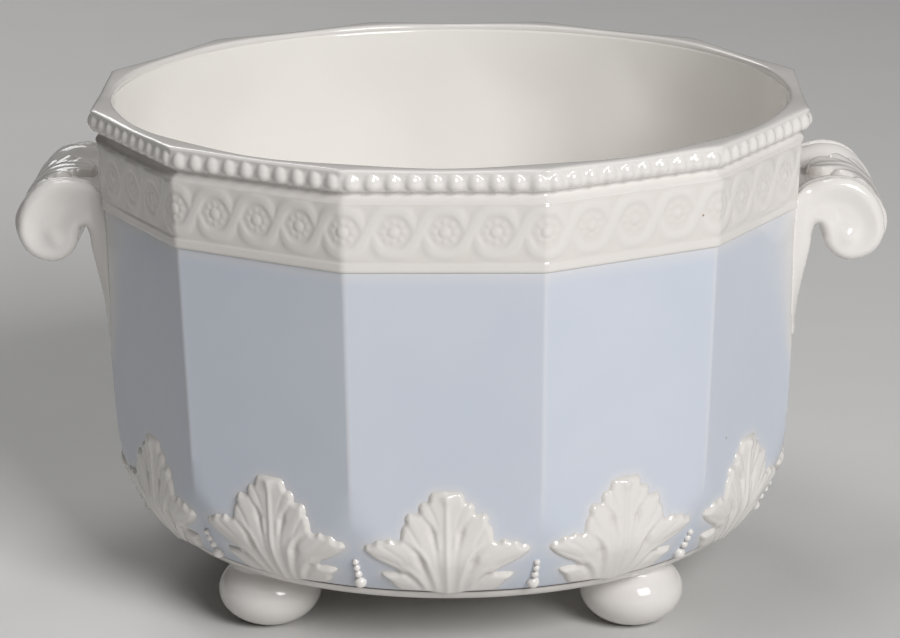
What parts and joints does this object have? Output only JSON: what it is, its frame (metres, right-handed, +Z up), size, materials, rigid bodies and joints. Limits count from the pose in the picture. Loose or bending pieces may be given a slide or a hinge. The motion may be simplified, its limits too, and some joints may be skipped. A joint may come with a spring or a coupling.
{
  "type": "cachepot",
  "caption": "Faceted glazed porcelain cachepot with a beaded rim, guilloche frieze, broad scroll handles, acanthus leaves round its foot and bun feet.",
  "frame": {"origin": "on the ground, under the pot's axis", "axes": "+Z up along the pot's axis, +X through the right-hand handle, -Y out of the front panel"},
  "size_m": [0.3232, 0.2632, 0.185],
  "materials": {
    "panel_glaze": "pale grey-blue gloss glaze on the panels, white inside, thin over the arrises",
    "white_glaze": "warm white gloss glaze, softened over the relief"
  },
  "bodies": {
    "root": {"acanthus_leaf_01": "white_glaze", "acanthus_leaf_02": "white_glaze", "acanthus_leaf_03": "white_glaze", "acanthus_leaf_04": "white_glaze", "acanthus_leaf_05": "white_glaze", "acanthus_leaf_06": "white_glaze", "acanthus_leaf_07": "white_glaze", "acanthus_leaf_08": "white_glaze", "acanthus_leaf_09": "white_glaze", "acanthus_leaf_10": "white_glaze", "acanthus_leaf_11": "white_glaze", "acanthus_leaf_12": "white_glaze", "base_ring": "white_glaze", "foot_back_left": "white_glaze", "foot_back_right": "white_glaze", "foot_front_left": "white_glaze", "foot_front_right": "white_glaze", "frieze_panel_01": "white_glaze", "frieze_panel_02": "white_glaze", "frieze_panel_03": "white_glaze", "frieze_panel_04": "white_glaze", "frieze_panel_05": "white_glaze", "frieze_panel_06": "white_glaze", "frieze_panel_07": "white_glaze", "frieze_panel_08": "white_glaze", "frieze_panel_09": "white_glaze", "frieze_panel_10": "white_glaze", "frieze_panel_11": "white_glaze", "frieze_panel_12": "white_glaze", "handle_leaf_left": "white_glaze", "handle_leaf_right": "white_glaze", "handle_left": "white_glaze", "handle_right": "white_glaze", "pearl_drop_01": "white_glaze", "pearl_drop_02": "white_glaze", "pearl_drop_03": "white_glaze", "pearl_drop_04": "white_glaze", "pearl_drop_05": "white_glaze", "pearl_drop_06": "white_glaze", "pearl_drop_07": "white_glaze", "pearl_drop_08": "white_glaze", "pearl_drop_09": "white_glaze", "pearl_drop_10": "white_glaze", "pearl_drop_11": "white_glaze", "pearl_drop_12": "white_glaze", "pot_body": "panel_glaze", "rim_beads": "white_glaze", "rim_ring": "white_glaze"}
  },
  "joints": []
}
